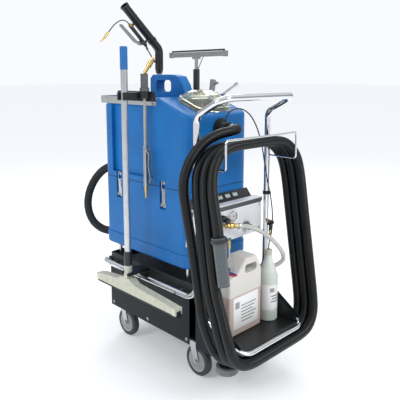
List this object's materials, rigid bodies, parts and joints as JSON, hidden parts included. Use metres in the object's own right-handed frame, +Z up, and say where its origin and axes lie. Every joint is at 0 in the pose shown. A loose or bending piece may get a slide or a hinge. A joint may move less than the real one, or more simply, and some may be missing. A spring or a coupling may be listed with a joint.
{
  "type": "spray and suction cleaning trolley",
  "caption": "Wheeled spray and suction cleaning machine with stacked tanks, coiled suction hose, control box, canister basin and parked hand tools.",
  "frame": {"origin": "on the floor, midway between the side panels and below the middle of the base", "axes": "+Z up, -Y towards the operator and the push handle, +X to the right as the operator faces the machine"},
  "size_m": [0.5795, 1.0662, 1.5238],
  "materials": {
    "dark_panel": "satin textured",
    "black_plastic": "fine grain",
    "chrome_tube": "polished",
    "caster_steel": "zinc plated",
    "wheel_tyre": "matt",
    "bumper_rubber": "matt",
    "blue_tank": "rotomoulded",
    "black_rubber": "matt",
    "clear_lid": "clear",
    "stainless": "brushed",
    "inner_motor": "painted",
    "box_steel": "satin",
    "rocker_white": "gloss",
    "gauge_metal": "polished",
    "brass_metal": "satin",
    "can_white": "translucent",
    "clear_tube": "translucent",
    "grey_sleeve": "translucent",
    "pole_grey": "anodised",
    "head_beige": "moulded",
    "grey_plastic": "moulded",
    "hose_black": "ribbed"
  },
  "bodies": {
    "chassis": {"base_panels": "dark_panel", "bottle": "can_white", "brass_fittings": "brass_metal", "canister": "can_white", "canister_basin": "black_plastic", "control_box": "box_steel", "deck_tray": "black_plastic", "defoamer_tube": "hose_black", "dosing_tube": "clear_tube", "frame_left": "chrome_tube", "frame_right": "chrome_tube", "guard_bar": "chrome_tube", "hose_coil": "hose_black", "hose_cuff": "grey_sleeve", "hose_lead": "hose_black", "hose_port": "black_rubber", "hose_rack": "chrome_tube", "motor_and_pump": "inner_motor", "outlet_hose": "clear_tube", "pressure_gauge": "gauge_metal", "push_handle": "chrome_tube", "rear_hose": "hose_black", "recovery_tank": "blue_tank", "solution_tank": "blue_tank", "spare_tools": "stainless", "steel_fittings": "stainless", "switch_panel": "black_plastic", "tank_seals": "black_rubber", "tool_clips": "black_plastic"},
    "fork_front_left": {"caster_fork_front_left": "caster_steel"},
    "wheel_front_left": {"caster_wheel_front_left": "wheel_tyre"},
    "fork_front_right": {"caster_fork_front_right": "caster_steel"},
    "wheel_front_right": {"caster_wheel_front_right": "wheel_tyre"},
    "fork_rear_left": {"caster_fork_rear_left": "caster_steel"},
    "wheel_rear_left": {"caster_wheel_rear_left": "wheel_tyre"},
    "fork_rear_right": {"caster_fork_rear_right": "caster_steel"},
    "wheel_rear_right": {"caster_wheel_rear_right": "wheel_tyre"},
    "bumper_left": {"bumper_roller_left": "bumper_rubber"},
    "bumper_right": {"bumper_roller_right": "bumper_rubber"},
    "lid": {"tank_lid": "clear_lid"},
    "latch_front_left": {"tank_latch_front_left": "stainless"},
    "latch_rear_left": {"tank_latch_rear_left": "stainless"},
    "latch_front_right": {"tank_latch_front_right": "stainless"},
    "latch_rear_right": {"tank_latch_rear_right": "stainless"},
    "rocker_1": {"rocker_switch_1": "rocker_white"},
    "rocker_2": {"rocker_switch_2": "rocker_white"},
    "rocker_3": {"rocker_switch_3": "rocker_white"},
    "rocker_4": {"rocker_switch_4": "rocker_white"},
    "regulator": {"regulator_knob": "black_plastic"},
    "tap": {"tap_lever": "black_plastic"},
    "floor_squeegee": {"floor_squeegee_pole": "pole_grey", "floor_squeegee_head": "head_beige"},
    "hand_squeegee": {"window_squeegee": "stainless"},
    "gun": {"spray_gun": "brass_metal"},
    "trigger": {"gun_trigger": "brass_metal"},
    "wand": {"wand_tube": "black_plastic", "wand_valve": "black_plastic", "wand_pigtail": "hose_black", "pigtail_connector": "brass_metal"},
    "valve_lever": {"wand_lever": "grey_plastic"}
  },
  "joints": [
    {"name": "caster_swivel_front_left", "type": "hinge", "parent": "chassis", "child": "fork_front_left", "pos_m": [-0.146, -0.124, 0.15], "axis": [0, 0, 1], "continuous": true},
    {"name": "caster_roll_front_left", "type": "hinge", "parent": "fork_front_left", "child": "wheel_front_left", "pos_m": [-0.146, -0.15, 0.0625], "axis": [1, 0, 0], "continuous": true},
    {"name": "caster_swivel_front_right", "type": "hinge", "parent": "chassis", "child": "fork_front_right", "pos_m": [0.146, -0.124, 0.15], "axis": [0, 0, 1], "continuous": true},
    {"name": "caster_roll_front_right", "type": "hinge", "parent": "fork_front_right", "child": "wheel_front_right", "pos_m": [0.146, -0.15, 0.0625], "axis": [1, 0, 0], "continuous": true},
    {"name": "caster_swivel_rear_left", "type": "hinge", "parent": "chassis", "child": "fork_rear_left", "pos_m": [-0.146, 0.34, 0.15], "axis": [0, 0, 1], "continuous": true},
    {"name": "caster_roll_rear_left", "type": "hinge", "parent": "fork_rear_left", "child": "wheel_rear_left", "pos_m": [-0.146, 0.314, 0.0625], "axis": [1, 0, 0], "continuous": true},
    {"name": "caster_swivel_rear_right", "type": "hinge", "parent": "chassis", "child": "fork_rear_right", "pos_m": [0.146, 0.34, 0.15], "axis": [0, 0, 1], "continuous": true},
    {"name": "caster_roll_rear_right", "type": "hinge", "parent": "fork_rear_right", "child": "wheel_rear_right", "pos_m": [0.146, 0.314, 0.0625], "axis": [1, 0, 0], "continuous": true},
    {"name": "bumper_turn_left", "type": "hinge", "parent": "chassis", "child": "bumper_left", "pos_m": [-0.145, -0.3, 0.09], "axis": [0, 0, 1], "continuous": true},
    {"name": "bumper_turn_right", "type": "hinge", "parent": "chassis", "child": "bumper_right", "pos_m": [0.145, -0.3, 0.09], "axis": [0, 0, 1], "continuous": true},
    {"name": "lid_hinge", "type": "hinge", "parent": "chassis", "child": "lid", "pos_m": [0, 0.03335, 1.10304], "axis": [-1, 0, 0], "range_deg": [0, 85]},
    {"name": "latch_pull_front_left", "type": "hinge", "parent": "chassis", "child": "latch_front_left", "pos_m": [-0.169, 0.03, 0.668], "axis": [0, -1, 0], "range_deg": [0, 110]},
    {"name": "latch_pull_rear_left", "type": "hinge", "parent": "chassis", "child": "latch_rear_left", "pos_m": [-0.169, 0.325, 0.668], "axis": [0, -1, 0], "range_deg": [0, 110]},
    {"name": "latch_pull_front_right", "type": "hinge", "parent": "chassis", "child": "latch_front_right", "pos_m": [0.169, 0.03, 0.668], "axis": [0, 1, 0], "range_deg": [0, 110]},
    {"name": "latch_pull_rear_right", "type": "hinge", "parent": "chassis", "child": "latch_rear_right", "pos_m": [0.169, 0.325, 0.668], "axis": [0, 1, 0], "range_deg": [0, 110]},
    {"name": "rocker_tilt_1", "type": "hinge", "parent": "chassis", "child": "rocker_1", "pos_m": [-0.06, -0.13463, 0.70036], "axis": [1, 0, 0], "range_deg": [-8, 8]},
    {"name": "rocker_tilt_2", "type": "hinge", "parent": "chassis", "child": "rocker_2", "pos_m": [-0.015, -0.13463, 0.70036], "axis": [1, 0, 0], "range_deg": [-8, 8]},
    {"name": "rocker_tilt_3", "type": "hinge", "parent": "chassis", "child": "rocker_3", "pos_m": [0.03, -0.13463, 0.70036], "axis": [1, 0, 0], "range_deg": [-8, 8]},
    {"name": "rocker_tilt_4", "type": "hinge", "parent": "chassis", "child": "rocker_4", "pos_m": [0.075, -0.13463, 0.70036], "axis": [1, 0, 0], "range_deg": [-8, 8]},
    {"name": "regulator_turn", "type": "hinge", "parent": "chassis", "child": "regulator", "pos_m": [-0.063, -0.2, 0.636], "axis": [0, -1, 0], "range_deg": [0, 270]},
    {"name": "tap_turn", "type": "hinge", "parent": "chassis", "child": "tap", "pos_m": [0.2055, -0.232, 0.575], "axis": [0, -1, 0], "range_deg": [0, 90]},
    {"name": "floor_squeegee_lift_out", "type": "slide", "parent": "chassis", "child": "floor_squeegee", "axis": [-1, 0, 0], "range_m": [0, 0.12]},
    {"name": "window_squeegee_lift_out", "type": "slide", "parent": "chassis", "child": "hand_squeegee", "axis": [0, 0, 1], "range_m": [0, 0.12]},
    {"name": "gun_lift_out", "type": "slide", "parent": "chassis", "child": "gun", "axis": [0, 0, 1], "range_m": [0, 0.12]},
    {"name": "gun_trigger_pull", "type": "hinge", "parent": "gun", "child": "trigger", "pos_m": [-0.2, 0.09, 0.89], "axis": [1, 0, 0], "range_deg": [0, 6], "stiffness_Nm_per_rad": 0.5},
    {"name": "wand_lift_out", "type": "slide", "parent": "chassis", "child": "wand", "axis": [0, 0, 1], "range_m": [0, 0.2]},
    {"name": "wand_lever_pull", "type": "hinge", "parent": "wand", "child": "valve_lever", "pos_m": [0.07855, 0.48, 1.3377], "axis": [0, 1, 0], "range_deg": [0, 6], "stiffness_Nm_per_rad": 0.8}
  ]
}
